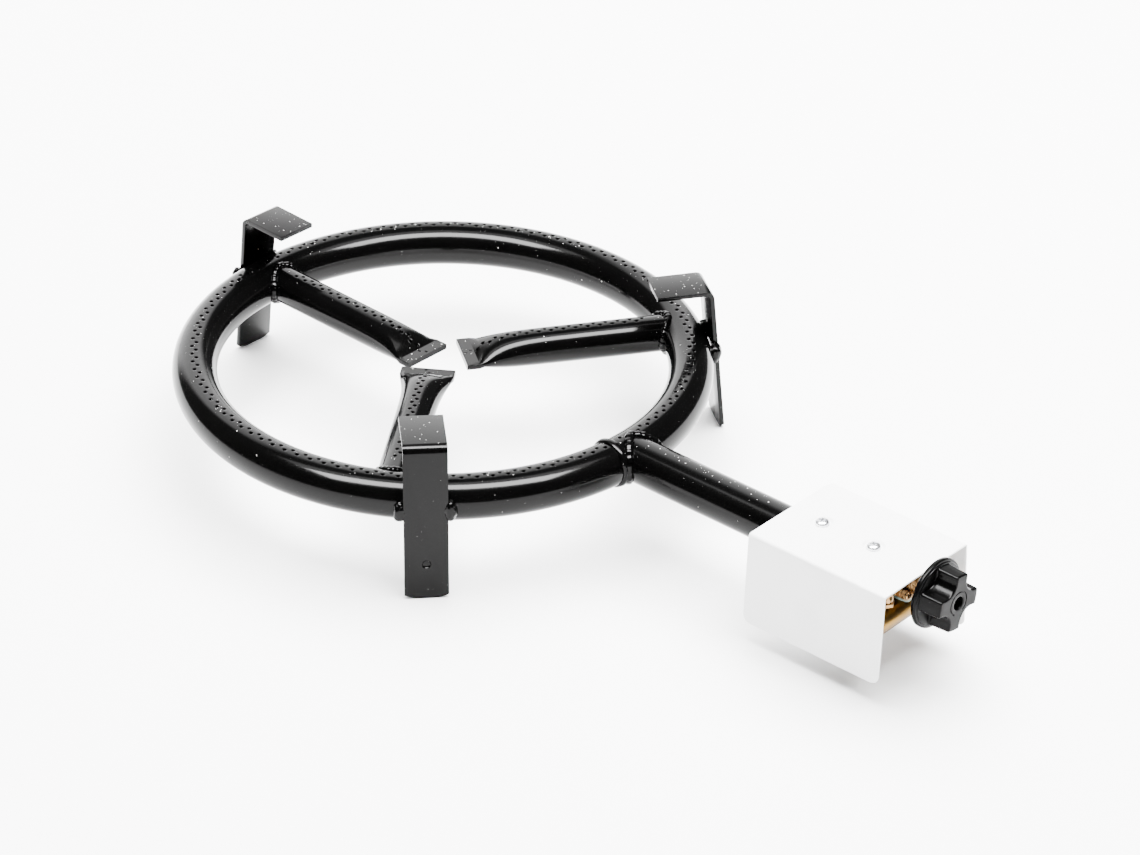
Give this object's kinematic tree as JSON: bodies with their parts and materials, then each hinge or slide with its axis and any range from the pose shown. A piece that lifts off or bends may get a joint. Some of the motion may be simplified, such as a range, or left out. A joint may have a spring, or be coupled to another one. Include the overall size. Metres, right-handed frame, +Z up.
{
  "type": "propane burner stand",
  "caption": "Black enamelled gas ring burner on bent strip legs, with inward arms, an inlet tube and a white sheet cover over a push-and-turn tap.",
  "frame": {"origin": "centre of the burner's footprint, on the surface that its legs stand on", "axes": "+Z up, +Y from the knob towards the ring, +X to the right of someone who faces the knob"},
  "size_m": [0.3, 0.5187, 0.0888],
  "materials": {
    "black_enamel": "glossy black vitreous enamel with fine white flecks",
    "enamelled_weld": "lumpy weld under glossy black enamel",
    "white_powder_coat": "satin white powder coat",
    "yellow_zinc": "steel with golden yellow passivated zinc, satin",
    "brass": "machined brass, semi-bright",
    "zinc_steel": "bright zinc-plated steel",
    "knob_plastic": "moulded black heat-resistant plastic, glossy sides and satin face",
    "fibre_seal": "grey-green compressed fibre seal"
  },
  "bodies": {
    "burner": {"ring_tube": "black_enamel", "arm_tube_back": "black_enamel", "arm_tube_left": "black_enamel", "arm_tube_right": "black_enamel", "inlet_tube": "black_enamel", "leg_back": "black_enamel", "leg_left": "black_enamel", "leg_right": "black_enamel", "ring_seam_weld": "enamelled_weld", "inlet_weld": "enamelled_weld", "arm_weld_back": "enamelled_weld", "arm_weld_left": "enamelled_weld", "arm_weld_right": "enamelled_weld", "leg_weld_back_a": "enamelled_weld", "leg_weld_back_b": "enamelled_weld", "leg_weld_left_a": "enamelled_weld", "leg_weld_left_b": "enamelled_weld", "leg_weld_right_a": "enamelled_weld", "leg_weld_right_b": "enamelled_weld", "cover": "white_powder_coat", "gas_rail": "yellow_zinc", "tap_bracket": "yellow_zinc", "rail_end_plug": "brass", "inlet_elbow": "brass", "test_nipple": "brass", "valve_body": "brass", "valve_cap": "brass", "injector": "brass", "cover_screw_back": "zinc_steel", "cover_screw_front": "zinc_steel", "test_nipple_screw": "zinc_steel", "cap_screw_left": "brass", "cap_screw_right": "brass", "rail_gasket": "fibre_seal"},
    "tap_plug": {"valve_plug": "brass", "valve_spring": "zinc_steel"},
    "knob": {"knob": "knob_plastic", "knob_sleeve": "zinc_steel", "valve_stem": "zinc_steel"}
  },
  "joints": [
    {"name": "tap_turn", "type": "hinge", "parent": "burner", "child": "tap_plug", "pos_m": [-0.0028, -0.22342, 0.0543], "axis": [0, -1, 0], "range_deg": [0, 210]},
    {"name": "knob_push", "type": "slide", "parent": "tap_plug", "child": "knob", "axis": [0, 1, 0], "range_m": [0, 0.003], "stiffness_N_per_m": 1200, "springref_m": -0.004, "deforming": ["valve_spring"]}
  ]
}
